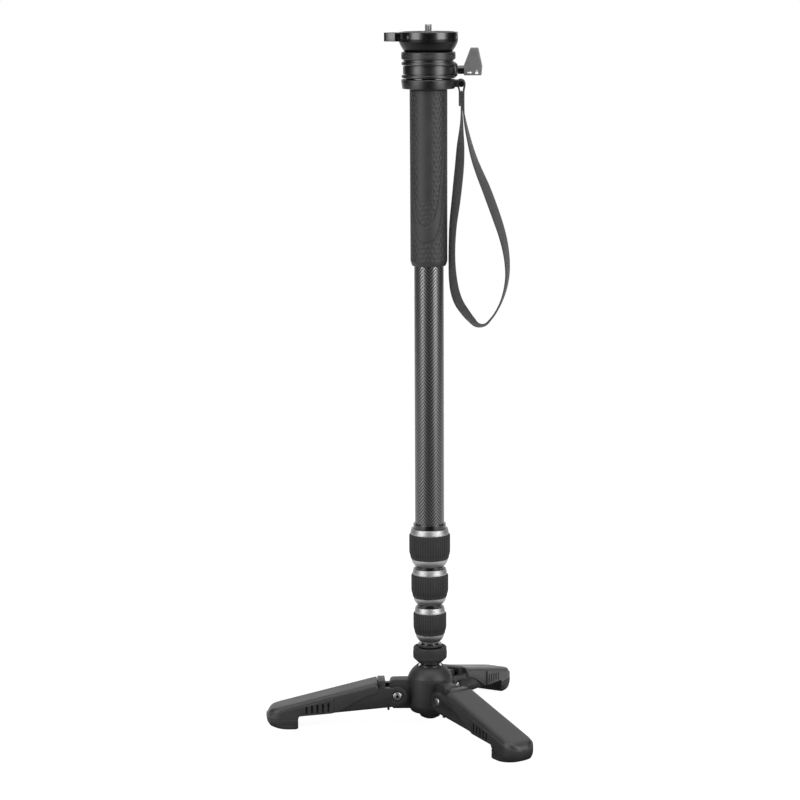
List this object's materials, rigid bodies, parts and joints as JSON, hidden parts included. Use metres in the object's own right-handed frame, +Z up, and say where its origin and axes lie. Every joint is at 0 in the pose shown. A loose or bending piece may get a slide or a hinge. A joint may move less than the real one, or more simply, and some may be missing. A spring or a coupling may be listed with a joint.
{
  "type": "camera monopod",
  "caption": "Telescopic camera monopod with twist locks, levelling platform with camera screw and lock paddle, wrist strap, and a folding foot stand on a ball joint.",
  "frame": {"origin": "on the floor under the column, at the middle of the foot stand", "axes": "+Z up along the column towards the camera screw, +X towards the lock paddle and strap, -Y towards the viewer of the picture"},
  "size_m": [0.235, 0.261, 0.6239],
  "materials": {
    "steel": "turned steel",
    "black_metal": "black anodised, satin",
    "dark_metal": "dark coating, fine texture",
    "bright_metal": "bright turned",
    "grey_metal": "satin grey coating",
    "carbon": "woven carbon fibre under clear lacquer",
    "grip_rubber": "soft touch with fine dimples",
    "rubber": "matt",
    "cover_plastic": "satin, fine grain",
    "bearing_plastic": "plain",
    "vial": "clear with tinted fluid",
    "webbing": "flat woven webbing"
  },
  "bodies": {
    "hub": {"hub": "black_metal", "hub_plug": "black_metal", "seat_springs": "steel", "hinge_pins": "steel"},
    "leg_1": {"leg_arm_1": "dark_metal", "leg_cover_1": "cover_plastic", "foot_pad_1": "rubber"},
    "leg_2": {"leg_arm_2": "dark_metal", "leg_cover_2": "cover_plastic", "foot_pad_2": "rubber"},
    "leg_3": {"leg_arm_3": "dark_metal", "leg_cover_3": "cover_plastic", "foot_pad_3": "rubber"},
    "seat": {"ball_seat": "bearing_plastic"},
    "lower": {"ball_stem": "steel", "foot_fitting": "black_metal", "ring_seal": "rubber", "tube_4": "carbon", "guide_bush_4": "bearing_plastic"},
    "collar": {"base_collar": "black_metal"},
    "section_3": {"tube_3": "carbon", "end_fitting_3": "black_metal", "collet_3": "bearing_plastic", "guide_bush_3": "bearing_plastic"},
    "lock_3": {"lock_nut_3": "bright_metal", "lock_sleeve_3": "rubber"},
    "section_2": {"tube_2": "carbon", "end_fitting_2": "black_metal", "collet_2": "bearing_plastic", "guide_bush_2": "bearing_plastic"},
    "lock_2": {"lock_nut_2": "bright_metal", "lock_sleeve_2": "rubber"},
    "section_1": {"tube_1": "carbon", "end_fitting_1": "black_metal", "collet_1": "bearing_plastic", "grip": "grip_rubber", "tube_plug": "bright_metal", "head_mount_bolt": "steel", "strap_collar": "dark_metal", "lug_bar": "steel", "wrist_strap": "webbing", "head_housing": "black_metal", "cup_ring": "dark_metal", "brake_shoe": "bearing_plastic"},
    "lock_1": {"lock_nut_1": "bright_metal", "lock_sleeve_1": "rubber"},
    "knob": {"knob_shaft": "steel", "lock_paddle": "grey_metal"},
    "head_seat": {"seat_liner": "bearing_plastic"},
    "platform": {"half_ball": "black_metal", "platform_plate": "black_metal", "top_pad": "rubber", "camera_screw": "steel", "rim_grub_screws": "steel", "level_vial": "vial", "tension_bolt": "steel", "pull_washer": "steel"}
  },
  "joints": [
    {"name": "leg_1_fold", "type": "hinge", "parent": "hub", "child": "leg_1", "pos_m": [-0.02997, -0.00136, 0.028], "axis": [0.0454, -0.999, 0], "range_deg": [0, 82]},
    {"name": "leg_2_fold", "type": "hinge", "parent": "hub", "child": "leg_2", "pos_m": [0.01616, -0.02527, 0.028], "axis": [0.8425, 0.5388, 0], "range_deg": [0, 82]},
    {"name": "leg_3_fold", "type": "hinge", "parent": "hub", "child": "leg_3", "pos_m": [0.01381, 0.02663, 0.028], "axis": [-0.8878, 0.4602, 0], "range_deg": [0, 82]},
    {"name": "column_swivel", "type": "hinge", "parent": "hub", "child": "seat", "pos_m": [0, 0, 0.0445], "axis": [0, 0, 1], "continuous": true},
    {"name": "column_tilt", "type": "hinge", "parent": "seat", "child": "lower", "pos_m": [0, 0, 0.0445], "axis": [0, 1, 0], "range_deg": [-10, 10]},
    {"name": "base_collar_turn", "type": "hinge", "parent": "lower", "child": "collar", "pos_m": [0, 0, 0.0625], "axis": [0, 0, 1], "range_deg": [0, 180]},
    {"name": "section_3_slide", "type": "slide", "parent": "lower", "child": "section_3", "axis": [0, 0, 1], "range_m": [0, 0.325]},
    {"name": "lock_3_turn", "type": "hinge", "parent": "section_3", "child": "lock_3", "pos_m": [0, 0, 0.0922], "axis": [0, 0, 1], "range_deg": [0, 90]},
    {"name": "section_2_slide", "type": "slide", "parent": "section_3", "child": "section_2", "axis": [0, 0, 1], "range_m": [0, 0.325]},
    {"name": "lock_2_turn", "type": "hinge", "parent": "section_2", "child": "lock_2", "pos_m": [0, 0, 0.1267], "axis": [0, 0, 1], "range_deg": [0, 90]},
    {"name": "section_1_slide", "type": "slide", "parent": "section_2", "child": "section_1", "axis": [0, 0, 1], "range_m": [0, 0.325]},
    {"name": "lock_1_turn", "type": "hinge", "parent": "section_1", "child": "lock_1", "pos_m": [0, 0, 0.1626], "axis": [0, 0, 1], "range_deg": [0, 90]},
    {"name": "paddle_turn", "type": "hinge", "parent": "section_1", "child": "knob", "pos_m": [0.03, 0, 0.5847], "axis": [1, 0, 0], "range_deg": [-90, 90]},
    {"name": "platform_swivel", "type": "hinge", "parent": "section_1", "child": "head_seat", "pos_m": [0, 0, 0.618], "axis": [0, 0, 1], "continuous": true},
    {"name": "platform_tilt", "type": "hinge", "parent": "head_seat", "child": "platform", "pos_m": [0, 0, 0.618], "axis": [0, 1, 0], "range_deg": [-8, 8]}
  ]
}
